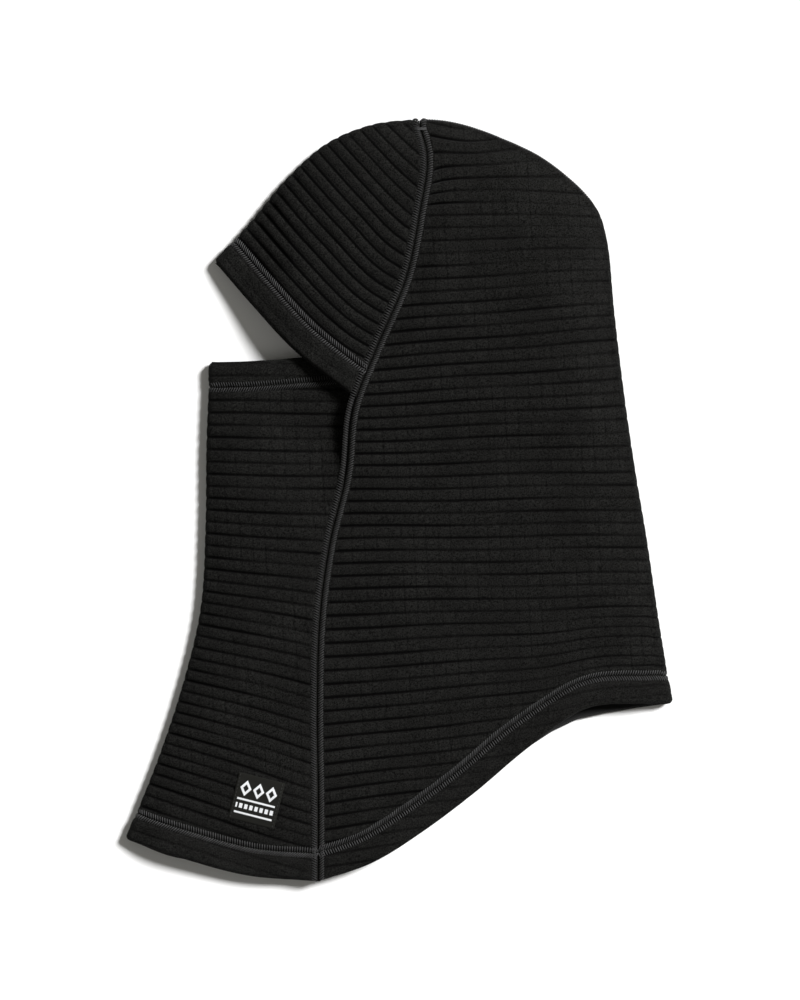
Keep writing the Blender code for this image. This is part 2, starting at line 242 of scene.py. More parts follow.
rear_outline = smooth(BROW_FOLD + CROWN_EDGE[1:] + BACK_FOLD[1:])
front_outline = smooth(FRONT_FOLD)
rear_fold = shifted(rear_outline, -FOLD_RADIUS)
front_fold = shifted(front_outline, FOLD_RADIUS)
seam_line = smooth(SIDE_SEAM)
brow_edge = extended(smooth(BROW_EDGE))
mouth_edge = extended(smooth(MOUTH_EDGE))
neck_edge = extended(np.vstack([smooth(FRONT_NECK_EDGE), smooth(BACK_NECK_EDGE)[1:]]))
# Panels run on under the seam's threads, up to its middle
seam_front = shifted(seam_line, -0.05 * MM)
seam_back = shifted(seam_line, 0.05 * MM)


# ---- Heights

def ripple(xy, sizes, height, seed):
    """Slow, smooth undulation from a few crossed waves."""
    rng = np.random.default_rng(seed)
    total = np.zeros(xy.shape[:-1])
    for size in sizes:
        angle, phase = rng.uniform(0, math.pi), rng.uniform(0, 2 * math.pi)
        way = np.array([math.cos(angle), math.sin(angle)]) * 2 * math.pi / size
        total += np.sin(xy @ way + phase)
    return total * height / len(sizes)


def settled(top, inside):
    """Height of the near layer, a distance inside its fold."""
    return 2 * FOLD_RADIUS + (top - 2 * FOLD_RADIUS) * (1 - np.exp(-inside / RISE_LENGTH))


def neck_sag(xy):
    """How much lower the near layer lies by the neck hem, between the front fold and the gape."""
    by_hem = 1 - eased(distance_to(xy, neck_edge), (0, NECK_SAG_REACH))
    return NECK_SAG * by_hem * eased(xy[..., 0], NECK_SAG_START) * (1 - eased(xy[..., 0], NECK_SAG_END))


def behind_seam(xy):
    """Distance behind the side seam, less than 0 in front of it."""
    up = seam_line[::-1]
    side = np.sign(xy[..., 0] - np.interp(xy[..., 1], up[:, 1], up[:, 0]))
    return side * distance_to(xy, seam_line)


def rear_height(xy):
    """The near layer over the hood. The brow hem sags low in front, and a soft ridge stands behind
    the side seam where the crown's gathers end."""
    top = NECK_HEIGHT + (HOOD_HEIGHT - NECK_HEIGHT) * eased(xy[..., 1], HOOD_START)
    near_hem = 1 - eased(distance_to(xy, brow_edge), (0, BROW_SAG_REACH))
    top = top - BROW_SAG * near_hem * (1 - eased(xy[..., 0], BROW_SAG_END)) - neck_sag(xy)
    inside = distance_to(xy, rear_fold)
    wave = ripple(xy, (0.11, 0.083, 0.064, 0.05), 1.2 * MM, 3) * eased(inside, (0, 25 * MM))
    behind = behind_seam(xy)
    ridge = bell(behind, 19 * MM, 8 * MM) - 0.8 * bell(behind, 5 * MM, 5 * MM)
    ridge = 1.1 * MM * ridge * bell(xy[..., 1], 140 * MM, 42 * MM) * eased(inside, (4 * MM, 20 * MM))
    return settled(top, inside) + wave + ridge


def front_height(xy):
    """The neck and mouth panel passes low under the brow hem, and comes up to the side seam below it."""
    top = NECK_HEIGHT + (TUCK_HEIGHT - NECK_HEIGHT) * eased(xy[..., 1], TUCK_START) - neck_sag(xy)
    inside = distance_to(xy, front_fold)
    wave = ripple(xy, (0.09, 0.07, 0.055), 1.0 * MM, 8) * eased(inside, (0, 25 * MM))
    dip = 2.8 * MM * bell(xy[..., 1], 40 * MM, 22 * MM) * eased(xy[..., 0], (-85 * MM, -50 * MM))
    low = settled(top, inside) + wave - dip
    to_seam = 1 - eased(distance_to(xy, seam_line), (1.5 * MM, 15 * MM))
    attached = to_seam * (1 - eased(xy[..., 1], (2 * MM, 30 * MM)))
    return low + (rear_height(xy) - low) * attached


def flat_floor(xy):
    return np.zeros(xy.shape[:-1])


def front_floor(xy):
    """Underside of the far layer of the neck and mouth panel, lifted over the far brow hem."""
    whole = length_along(brow_edge)[-1]
    way = at(brow_edge, whole) - at(brow_edge, 0.0)
    across = np.array([-way[1], way[0]]) / np.linalg.norm(way)
    return TUCK_LIFT * eased((xy - at(brow_edge, whole * 0.7)) @ across, TUCK_REACH)


# ---- Ribs

def slope_at(y, table):
    """Slope of the ribs at a height, evened out between the table's heights."""
    heights, slopes = np.array(table).T
    fine = np.linspace(heights[0], heights[-1], 200)
    padded = np.pad(np.interp(fine, heights, slopes), 8, mode="edge")
    even = np.convolve(padded, np.ones(17) / 17, "valid")
    return np.interp(y / MM, fine, even)


def back_ribs(xy):
    """Rib count of the back panel: a groove runs along each whole number."""
    x, y = xy[..., 0], xy[..., 1]
    sway = 0.35 * MM * np.sin(x / (17 * MM) + y / (23 * MM))
    sag = 0.3 * (np.hypot(x - 38 * MM, 14 * MM) - 14 * MM) * eased(y, (165 * MM, 205 * MM))
    turn_up = 1.8 * np.maximum(x - 90 * MM, 0) ** 2 * eased(-y, (60 * MM, 110 * MM))
    gather = 6.5 * MM * np.exp(-distance_to(xy, seam_line) / (9 * MM)) * bell(y, 178 * MM, 16 * MM)
    return (y - slope_at(y, BACK_RIB_SLOPE) * (x - 40 * MM) - sag - turn_up + gather + sway) / RIB_PITCH


def uneven(xy, rib):
    """Some grooves are deeper than others, and change along their length."""
    nth = np.round(rib)
    x = xy[..., 0]
    return 0.3 * np.sin(nth * 2.4 + x / (26 * MM)) + 0.2 * np.sin(nth * 5.1 - x / (13 * MM))


def back_depth(xy, rib):
    """Depth of the grooves, and so how dark their painted shade is: deep beside the side seam, and
    shallow over the crown and the far back.
    """
    by_seam = np.exp(-distance_to(xy, seam_line) / (48 * MM))
    crown = eased(xy[..., 1], (85 * MM, 140 * MM))
    gathers = bell(xy[..., 1], 178 * MM, 12 * MM) * np.exp(-distance_to(xy, seam_line) / (9 * MM))
    open_cloth = 0.65 * (1 - 0.55 * crown)
    return open_cloth + 0.95 * by_seam * (1 - 0.3 * crown) + 1.9 * gathers + 0.6 * uneven(xy, rib)


def front_depth(xy, rib):
    by_fold = np.exp(-distance_to(xy, front_fold) / (30 * MM))
    return 0.7 + 0.4 * by_fold + 0.7 * uneven(xy, rib)


def brow_depth(xy, rib):
    return 1.65 - 0.6 * eased(distance_to(xy, brow_edge), (40 * MM, 130 * MM)) + 0.45 * uneven(xy, rib)


def front_ribs(xy):
    x, y = xy[..., 0], xy[..., 1]
    sway = 0.3 * MM * np.sin(x / (15 * MM) - y / (29 * MM))
    return (y - slope_at(y, FRONT_RIB_SLOPE) * (x + 75 * MM) + sway) / RIB_PITCH


def brow_ribs(xy):
    """Ribs along the brow hem, which turn more level where they meet the side seam."""
    turn = 0.42 * np.clip(1 - distance_to(xy, seam_line) / (24 * MM), 0, 1) ** 2
    sway = 0.3 * MM * np.sin(xy[..., 0] / (16 * MM) - xy[..., 1] / (21 * MM))
    return (distance_to(xy, brow_edge) - 19.4 * MM + sway) / BROW_RIB_PITCH - turn


def level_wales(xy):
    """Count of the faint lines that cross the ribs."""
    return (xy[..., 0] + 0.06 * xy[..., 1]) / RIB_PITCH


def brow_wales(xy):
    return (0.72 * xy[..., 0] - 0.69 * xy[..., 1]) / RIB_PITCH


# ---- Shells

def coons(bottom, top, left, right, u, v):
    """Points that fill the space between four edges, as rows from bottom to top."""
    u, v = u[None, :, None], v[:, None, None]
    across = (1 - v) * bottom[None] + v * top[None]
    along = (1 - u) * left[:, None] + u * right[:, None]
    corners = (1 - v) * ((1 - u) * bottom[0] + u * bottom[-1]) + v * ((1 - u) * top[0] + u * top[-1])
    return across + along - corners


def fractions(length, step, fine_start=False, fine_end=False):
    """Places from 0 to 1, a step apart, and closer together at a rolled edge."""
    start = EDGE_OFFSETS if fine_start else np.array([0.0])
    end = length - EDGE_OFFSETS[::-1] if fine_end else np.array([length])
    gap = end[0] - start[-1]
    count = max(2, round(gap / step))
    middle = np.linspace(start[-1], end[0], count + 1)[1:-1]
    return np.r_[start, middle, end] / length


def unit(v):
    return v / np.maximum(np.linalg.norm(v, axis=-1, keepdims=True), 1e-12)


def grid_normals(surface):
    """Normals of a surface in rows and columns, towards the near side on the near layer."""
    down = np.gradient(surface, axis=0)
    across = np.gradient(surface, axis=1)
    return unit(np.cross(across, down))


def grid_faces(rows, columns, offset=0, turned=False):
    r, c = np.meshgrid(np.arange(rows - 1), np.arange(columns - 1), indexing="ij")
    a = (r * columns + c).ravel() + offset
    quads = np.stack([a, a + 1, a + columns + 1, a + columns], 1)
    return quads[:, ::-1] if turned else quads


def mesh_object(name, points, face_sets, materials, set_materials=None, values=None):
    """A mesh from points and sets of faces, each set with its own number of corners and material."""
    mesh = bpy.data.meshes.new(name)
    mesh.vertices.add(len(points))
    mesh.vertices.foreach_set("co", np.ascontiguousarray(points, np.float32).ravel())
    corners = np.concatenate([faces.ravel() for faces in face_sets]).astype(np.int32)
    sizes = np.concatenate([np.full(len(faces), faces.shape[1]) for faces in face_sets])
    mesh.loops.add(len(corners))
    mesh.loops.foreach_set("vertex_index", corners)
    mesh.polygons.add(len(sizes))
    mesh.polygons.foreach_set("loop_start", (np.cumsum(sizes) - sizes).astype(np.int32))
    for made in materials:
        mesh.materials.append(made)
    if set_materials is not None:
        chosen = np.repeat(set_materials, [len(faces) for faces in face_sets])
        mesh.polygons.foreach_set("material_index", chosen.astype(np.int32))
    for key, numbers in (values or {}).items():
        layer = mesh.attributes.new(key, "FLOAT", "POINT")
        layer.data.foreach_set("value", np.ascontiguousarray(numbers, np.float32).ravel())
    mesh.update(calc_edges=True)
    mesh.validate()
    mesh.shade_smooth()
    made = bpy.data.objects.new(name, mesh)
    bpy.context.scene.collection.objects.link(made)
    return made


def perimeter(rows, columns):
    """Corners of a grid's border, in order round it."""
    return np.r_[
        np.arange(columns),
        np.arange(2, rows) * columns - 1,
        np.arange(rows * columns - 1, (rows - 1) * columns - 1, -1),
        np.arange(rows - 2, 0, -1) * columns,
    ]


def closed_shell(name, outer, inner, materials, values, flipped):
    """A closed piece from an outer surface and an inner one that keeps every second row and column."""
    coarse = inner[::2, ::2]
    rows, columns = outer.shape[:2]
    few_rows, few_columns = coarse.shape[:2]
    count = rows * columns
    ring = perimeter(rows, columns)
    few_ring = perimeter(few_rows, few_columns) + count
    after = np.roll(few_ring, -1)
    rim = np.stack([ring[::2], few_ring, after, np.roll(ring, -2)[::2], ring[1::2]], 1)
    outside = grid_faces(rows, columns)
    inside = grid_faces(few_rows, few_columns, count, turned=True)
    sets = [outside, inside, rim]
    if flipped:
        sets = [faces[:, ::-1] for faces in sets]
    points = np.vstack([outer.reshape(-1, 3), coarse.reshape(-1, 3)])
    values = {key: np.r_[grid.ravel(), grid[::2, ::2].ravel()] for key, grid in values.items()}
    return mesh_object(name, points, sets, materials, [0, 1, 0], values)


def fold_arc(fold, starts, outward, angles):
    centre = at(fold, starts)[:, None]
    reach = FOLD_RADIUS * np.cos(angles)[None, :, None]
    plan = centre + normals(fold, starts)[:, None] * outward * reach
    height = np.broadcast_to(FOLD_RADIUS * (1 + np.sin(angles)), plan.shape[:2])
    return np.dstack([plan, height])


ARC_ANGLES = np.linspace(-math.pi / 2, math.pi / 2, ARC_STEPS + 1)


# ---- Sewn shapes

def hem_mask(edge_distance, width):
    """1 on the turned hem and its coverstitch, 0 on the open panel."""
    return 1 - eased(edge_distance, (width + 4.6 * MM, width + 6.6 * MM))


def hem_relief(edge_distance, width):
    """A turned hem stands proud of the panel, and its stitches pull a shallow channel beyond it."""
    before_end = 1 - eased(edge_distance, (width - 1.5 * MM, width + MM))
    band = 0.45 * MM * eased(edge_distance, (0, 2 * MM)) * before_end
    middle = width + COVERSTITCH_WIDTH / 2
    channel = 0.55 * MM * bell(edge_distance, middle, 2.7 * MM)
    crease = 0.35 * MM * bell(edge_distance, middle, 0.7 * MM)
    return band - channel - crease


def seam_mask(seam_distance):
    return 1 - eased(seam_distance, (2.9 * MM, 4.4 * MM))


def seam_relief(seam_distance):
    """The cloth lies flat under a flatlock's threads, with a valley between its two edges."""
    return -0.35 * MM * seam_mask(seam_distance) - 0.75 * MM * bell(seam_distance, 0, 0.8 * MM)


def groove(rib):
    """1 in the groove between two ribs, 0 over most of each rib."""
    return np.abs(2 * (rib - np.floor(rib)) - 1) ** 3


def edge_roll(edge_distance, thickness):
    """How far both faces turn in towards the middle of the cloth, at a rolled edge."""
    q = np.clip(1 - edge_distance / (0.62 * thickness), 0, 1)
    return 0.46 * thickness * (1 - np.sqrt(1 - q * q))


# ---- Cloth pieces

class Shape:
    """What a panel and its hems share: its fold, its edge at the side seam, its heights and its ribs."""

    def __init__(self, fold, outward, inner, heights, ribs, wales, depth, hem_smoothness):
        self.fold, self.outward, self.inner = fold, outward, inner
        self.height, self.floor = heights
        self.ribs, self.wales, self.depth = ribs, wales, depth
        self.hem_smoothness = hem_smoothness


def between_lines(shape, low, high, u, v):
    """A plan from the fold to the side seam, between two garment edges, and its rows' starts."""
    fold, inner = shape.fold, shape.inner
    bottom = at(low, crossing(low, fold) + (crossing(low, inner) - crossing(low, fold)) * u)
    top = at(high, crossing(high, fold) + (crossing(high, inner) - crossing(high, fold)) * u)
    starts = crossing(fold, low) + (crossing(fold, high) - crossing(fold, low)) * v
    ends = crossing(inner, low) + (crossing(inner, high) - crossing(inner, low)) * v
    return coons(bottom, top, at(fold, starts), at(inner, ends), u, v), starts


def to_crown(shape, low, corner, u, v):
    """A plan that ends at the crown, where its last row lies along the side seam. The corner holds a
    place among the rows, and the distances along the fold and down the seam that it joins there."""
    fold, inner = shape.fold, shape.inner
    place, on_fold, down_seam = corner
    seam_top = crossing(inner, fold)
    bottom = at(low, crossing(low, fold) + (crossing(low, inner) - crossing(low, fold)) * u)
    top = at(inner, seam_top + CORNER_RUN * u)
    starts = np.interp(v, [0, place, 1], [crossing(fold, low), on_fold, crossing(fold, inner)])
    down = [crossing(inner, low), seam_top + down_seam, seam_top + CORNER_RUN]
    ends = np.interp(v, [0, place, 1], down)
    return coons(bottom, top, at(fold, starts), at(inner, ends), u, v), starts


def wrap(shape, near_plan, far_plan, starts):
    """The outer surface from the far side seam round the fold to the near one."""
    far = np.dstack([far_plan, shape.floor(far_plan)])[:, :0:-1]
    near = np.dstack([near_plan, shape.height(near_plan)])[:, 1:]
    arc = fold_arc(shape.fold, starts, shape.outward, ARC_ANGLES)
    side = np.r_[-np.ones(far.shape[1]), np.sin(ARC_ANGLES), np.ones(near.shape[1])]
    return np.concatenate([far, arc, near], axis=1), side


def gaping(plan, near):
    """Where the neck opening gapes at the back, the near hem arches up and the far one shows below it.
    At the front the far hem hangs a little low."""
    x = plan[..., 0]
    by_edge = 1 - eased(distance_to(plan, neck_edge), (12 * MM, 70 * MM))
    rise = 5.2 * MM * bell(x, 110 * MM, 26 * MM) if near else -1.8 * MM * bell(x, -128 * MM, 14 * MM)
    moved = plan.copy()
    moved[..., 1] += rise * by_edge
    return moved


def puckers(seam_distance, rib, seed):
    """Small gathers that run out from the side seam, uneven along it."""
    rng = np.random.default_rng(seed)
    along = rib + 0.15 * seam_distance / (10 * MM)
    gather = sum(np.sin(along * rng.uniform(1.1, 3.6) + rng.uniform(0, 6.3)) for _ in range(4)) / 4
    fading = np.exp(-seam_distance / (11 * MM)) * eased(seam_distance, (3 * MM, 7 * MM))
    return 0.75 * MM * gather * fading


def make_cloth(name, shape, plans, hems, seed):
    """A panel with its turned hems, as one closed piece of cloth."""
    near_plan, far_plan, starts = plans
    surface, side = wrap(shape, near_plan, far_plan, starts)
    xy = surface[..., :2]
    moved, side = wrap(shape, gaping(near_plan, True), gaping(far_plan, False), starts)
    facing = grid_normals(moved)
    facing *= np.sign(facing[len(facing) // 2, -1, 2])
    rib = shape.ribs(xy)
    seam_distance = distance_to(xy, seam_line)
    in_seam = seam_mask(seam_distance)
    in_hem = np.zeros(seam_distance.shape)
    relief = seam_relief(seam_distance)
    roll = np.zeros(seam_distance.shape)
    for line, width in hems:
        edge_distance = distance_to(xy, line)
        in_hem = np.maximum(in_hem, hem_mask(edge_distance, width))
        relief = relief + hem_relief(edge_distance, width) * (1 - in_seam)
        roll = np.maximum(roll, edge_roll(edge_distance, HEM_THICKNESS))
    show = (1 - in_seam) * (1 - shape.hem_smoothness * in_hem) * (0.4 + 0.6 * side**2)
    depth = np.clip(shape.depth(xy, rib), 0.15, 2.2)
    relief = relief + show * (0.2 * MM - RIB_DEPTH * depth * groove(rib))
    relief = relief + (1 - in_hem) * puckers(seam_distance, rib, seed)
    resting = np.clip(-side, 0, 1)[None]
    relief = relief - resting * (0.75 * MM + 0.3 * np.minimum(relief, 0))
    thickness = FABRIC + (HEM_THICKNESS - FABRIC) * in_hem
    outer = moved + facing * (relief - roll)[..., None]
    inner = moved - facing * (thickness - roll)[..., None]
    values = {
        "rib": rib,
        # deep sets how far each groove is bumped down and how dark the painted shade in it is
        "deep": depth * show,
        "wale": shape.wales(xy),
        "hem": in_hem,
        "seam": in_seam,
    }
    flipped = shape.outward > 0
    return closed_shell(name, outer, inner, [fleece_material(), lining_material()], values, flipped)


# ---- Stitches

def resampled(path, count):
    run = length_along(path)
    where = np.linspace(0, run[-1], count)
    return np.stack([np.interp(where, run, path[:, k]) for k in range(3)], -1)


def round_lane(shape, line, across, near_lift, far_lift):
    """A path on the cloth along a garment edge, a distance across from it: from the far side seam
    round the fold to the near one."""
    path = shifted(line, across)
    run = np.linspace(crossing(path, shape.fold), crossing(path, shape.inner), 160)
    plan = at(path, run)
    near_plan, far_plan = gaping(plan, True), gaping(plan, False)
    near = np.column_stack([near_plan, shape.height(near_plan) + near_lift])
    far = np.column_stack([far_plan, shape.floor(far_plan) + far_lift])
    start = crossing(shape.fold, path)
    angles = ARC_ANGLES[1:-1]
    arc = fold_arc(shape.fold, np.array([start]), shape.outward, angles)[0]
    centre = np.array([*at(shape.fold, start), FOLD_RADIUS])
    return np.vstack([far[::-1], centre + (arc - centre) * SUNK_THREADS, near])


def bars(name, ends, normals_out, radius, rise, made):
    """Short bent threads between pairs of points, as one mesh."""
    first, second = ends
    steps = np.array([0, 0.18, 0.5, 0.82, 1.0])
    girth = np.array([0.35, 1.0, 1.05, 1.0, 0.35])
    lift = np.array([-0.6, 0.5, 1.0, 0.5, -0.6]) * rise
    ring = np.linspace(0, 2 * math.pi, 6, endpoint=False)
    way = unit(second - first)
    out = unit(normals_out - (normals_out * way).sum(-1, keepdims=True) * way)
    beside = np.cross(way, out)
    middle = first[:, None] + (second - first)[:, None] * steps[None, :, None]
    middle = middle + out[:, None] * lift[None, :, None]
    spokes = out[:, None] * np.cos(ring)[None, :, None] + beside[:, None] * np.sin(ring)[None, :, None]
    points = middle[:, :, None] + spokes[:, None] * (girth * radius)[None, :, None, None]
    count, along, around = points.shape[:3]
    index = np.arange(count * along * around).reshape(count, along, around)
    turned = np.roll(index, -1, axis=2)
    sides = np.stack([index[:, :-1], turned[:, :-1], turned[:, 1:], index[:, 1:]], -1).reshape(-1, 4)
    head, tail = index[:, 0], index[:, -1]
    caps = [head[:, [0, 3, 2, 1]], head[:, [0, 5, 4, 3]], tail[:, [0, 1, 2, 3]], tail[:, [0, 3, 4, 5]]]
    shade = np.repeat(np.random.default_rng(count).uniform(0, 1, count), along * around)
    faces = np.vstack([sides, *caps])
    return mesh_object(name, points.reshape(-1, 3), [faces], [made], None, {"shade": shade})


def ladder(name, lanes, pitch, slant, radius, rise, made):
    """A row of short threads from one lane to the other, each slanted along them."""
    one, other = lanes
    count = int(max(length_along(one)[-1], length_along(other)[-1]) / pitch)
    one, other = resampled(one, count), resampled(other, count)
    skip = math.ceil(abs(slant) / pitch)
    if slant > 0:
        first, second = one[:count - skip], other[skip:]
    else:
        first, second = one[skip:], other[:count - skip]
    along = np.gradient(one, axis=0)
    out = unit(np.cross(other - one, along))
    out *= np.sign(out[-2, 2])
    out = out[:len(first)]
    return bars(name, (first, second), out, radius, rise, made)


def joined(name, pieces):
    """Several mesh objects made into the first one."""
    with bpy.context.temp_override(active_object=pieces[0], selected_editable_objects=pieces):
        bpy.ops.object.join()
    pieces[0].name = name
    return pieces[0]


def coverstitch(name, shape, line, width, made):
    """The two close rows of thread along a turned hem, from one side seam to the other."""
    inside = math.copysign(1, width)
    rows = []
    for start, end, slant in ((-0.1, 2.8, 0.5), (3.2, 6.1, -0.5)):
        lanes = [
            round_lane(shape, line, width + inside * across * MM, -0.25 * MM, 0.72 * MM)
            for across in (start, end)
        ]
        rows.append(ladder(name, lanes, STITCH_PITCH, slant * MM, HEM_THREAD_RADIUS, 0.36 * MM, made))
    return joined(name, rows)


def seam_lane(across, near, lift):
    """A path along the side seam, up from the neck's edge, over the crown's edge by a quarter turn."""
    path = shifted(seam_line, across)
    run = np.linspace(crossing(path, neck_edge), crossing(path, rear_fold), 400)
    plan = at(path, run)
    height = rear_height(plan) + lift if near else flat_floor(plan) + lift
    angles = np.radians([75, 60, 45, 30, 15, 4]) * (1 if near else -1)
    arc = fold_arc(rear_fold, np.array([crossing(rear_fold, path)]), 1, angles)[0]
    return np.vstack([arc[::-1], np.column_stack([plan, height])[::-1]])


def flatlock(name, near):
    """A side seam: two braids of thread on the outside, a tape inside, and a binding at the crown."""
    lift = -0.3 * MM if near else 0.75 * MM
    rows = []
    for one, other in ((-3.6, -0.6), (3.6, 0.6)):
        lanes = [seam_lane(across * MM, near, lift) for across in (one, other)]
        dark = seam_thread_and_shade_material()
        rows.append(ladder(name, lanes, STITCH_PITCH, 1 * MM, SEAM_THREAD_RADIUS, 0.5 * MM, dark))
    return joined(name, rows + [seam_backing(name, near), crossing_threads(near, lift)])


def crossing_threads(near, lift):
    """The few threads that bind the seam's top end, square across it."""
    ends = [at(seam_lane(across * MM, near, lift), BINDING_PLACES) for across in (-3.7, 3.7)]
    out = np.tile([0, 0, 1.0 if near else -1.0], (len(BINDING_PLACES), 1))
    return bars("binding", ends, out, BINDING_RADIUS, 0.7 * MM, thread_material())


def seam_backing(name, near):
    """The looped threads on the inside of the seam: a thin tape under the two edges of the cloth,
    which goes on inside the fold at the crown."""
    lanes = []
    for across in (-3.4, -1.7, 0, 1.7, 3.4):
        path = shifted(seam_line, across * MM)
        run = np.linspace(crossing(path, neck_edge) - 1.5 * MM, crossing(path, rear_fold) + 1 * MM, 220)
        plan = at(path, run)
        z = rear_height(plan) - FABRIC if near else flat_floor(plan) + FABRIC + 0.5 * MM
        start = crossing(rear_fold, path)
        angles = np.radians([80, 60, 40, 20, 0]) * (1 if near else -1)
        arc = fold_arc(rear_fold, np.array([start]), 1, angles)[0]
        centre = np.array([*at(rear_fold, start), FOLD_RADIUS])
        lanes.append(np.vstack([np.column_stack([plan, z]), centre + (arc - centre) * SUNK_BACKING]))
    top = np.stack(lanes, axis=1)
    below = top - np.array([0, 0, 0.5 * MM])
    rows, columns = top.shape[:2]
    count = rows * columns
    ring = perimeter(rows, columns)
    after = np.roll(ring, -1)
    rim = np.stack([ring, ring + count, after + count, after], 1)
    faces = np.vstack([grid_faces(rows, columns), grid_faces(rows, columns, count, turned=True), rim])
    points = np.vstack([top.reshape(-1, 3), below.reshape(-1, 3)])
    return mesh_object(name, points, [faces], [lining_material()])


def crown_threads():
    """The flatlock that closes the crown, along the fold's edge."""
    on_fold = nearest(rear_fold, np.array(BACK_FOLD[0]) * MM)
    top = crossing(rear_fold, seam_back) + 3 * MM
    starts = np.linspace(top, on_fold, 150)
    rows = []
    for one, other in ((-44, -9), (44, 9)):
        arc = fold_arc(rear_fold, starts, 1, np.radians([one, other]))
        centre = np.dstack([at(rear_fold, starts)[:, None], np.full((150, 1), FOLD_RADIUS)])
        arc = centre + (arc - centre) * 0.985
        lanes = [arc[:, 0], arc[:, 1]]
        rows.append(fold_ladder(lanes, centre[:, 0]))
    return joined("crown_flatlock", rows)


def fold_ladder(lanes, centre):
    """Threads over the fold's edge, which stand off the fold's middle line."""
    one, other = lanes
    count = int(length_along(one)[-1] / STITCH_PITCH)
    one, other, centre = resampled(one, count), resampled(other, count), resampled(centre, count)
    out = unit((one + other) / 2 - centre)
    ends = (one[:-1], other[1:])
    return bars("crown", ends, out[:-1], CROWN_THREAD_RADIUS, 0.3 * MM, seam_thread_and_shade_material())


def nearest(line, point):
    """Distance along the line at which it passes closest to a point."""
    fine = np.linspace(0, length_along(line)[-1], 4000)
    return fine[np.linalg.norm(at(line, fine) - point, axis=1).argmin()]


# ---- Materials

class Graph:
    """A material and short ways to add nodes to it."""

    def __init__(self, name):
        self.material = bpy.data.materials.new(name)
        self.material.use_nodes = True
        self.tree = self.material.node_tree
        self.shader = self.tree.nodes["Principled BSDF"]

    def put(self, value, socket):
        if isinstance(value, bpy.types.NodeSocket):
            self.tree.links.new(value, socket)
        else:
            socket.default_value = value

    def node(self, kind, inputs, output=0, **settings):
        made = self.tree.nodes.new(kind)
        for key, value in settings.items():
            setattr(made, key, value)
        for key, value in inputs.items():
            self.put(value, made.inputs[key])
        return made.outputs[output]

    def math(self, operation, *values):
        return self.node("ShaderNodeMath", dict(enumerate(values)), operation=operation)

    def attribute(self, name):
        return self.node("ShaderNodeAttribute", {}, "Fac", attribute_name=name)

    def spread(self, value, low, high, to_low=0.0, to_high=1.0):
        inputs = {"Value": value, "From Min": low, "From Max": high, "To Min": to_low, "To Max": to_high}
        return self.node("ShaderNodeMapRange", inputs, interpolation_type="SMOOTHSTEP")

    def place(self):
        return self.node("ShaderNodeTexCoord", {}, "Object")

    def noise(self, scale, detail=2.0, roughness=0.5, vector=None):
        inputs = {
            "Vector": vector or self.place(), "Scale": scale, "Detail": detail, "Roughness": roughness,
        }
        return self.node("ShaderNodeTexNoise", inputs, "Fac", noise_dimensions="3D")

    def mixed(self, factor, one, other):
        """A mix of two colours. A Mix node has one pair of inputs for each kind of value: 6 and 7 are
        the colours', and 2 is the colour output."""
        return self.node("ShaderNodeMix", {0: factor, 6: one, 7: other}, 2, data_type="RGBA")

    def scaled(self, colour, factor):
        return self.node("ShaderNodeVectorMath", {0: colour, "Scale": factor}, operation="SCALE")

    def finish(self, colour, roughness, height=None, **constants):
        self.put(colour, self.shader.inputs["Base Color"])
        self.put(roughness, self.shader.inputs["Roughness"])
        if height is not None:
            normal = self.node("ShaderNodeBump", {"Height": height, "Distance": 1.0, "Strength": 1.0})
            self.put(normal, self.shader.inputs["Normal"])
        for key, value in constants.items():
            self.shader.inputs[key.replace("_", " ")].default_value = value
        return self.material


def once(make):
    """Makes a material the first time, and gives the same one after that."""
    kept = {}

    def get():
        if "made" not in kept:
            kept["made"] = make()
        return kept["made"]

    return get


def from_middle(graph, count):
    """0 half way between whole numbers of a count, 1 on them."""
    return graph.math("ABSOLUTE", graph.math("MULTIPLY_ADD", graph.math("FRACT", count), 2.0, -1.0))


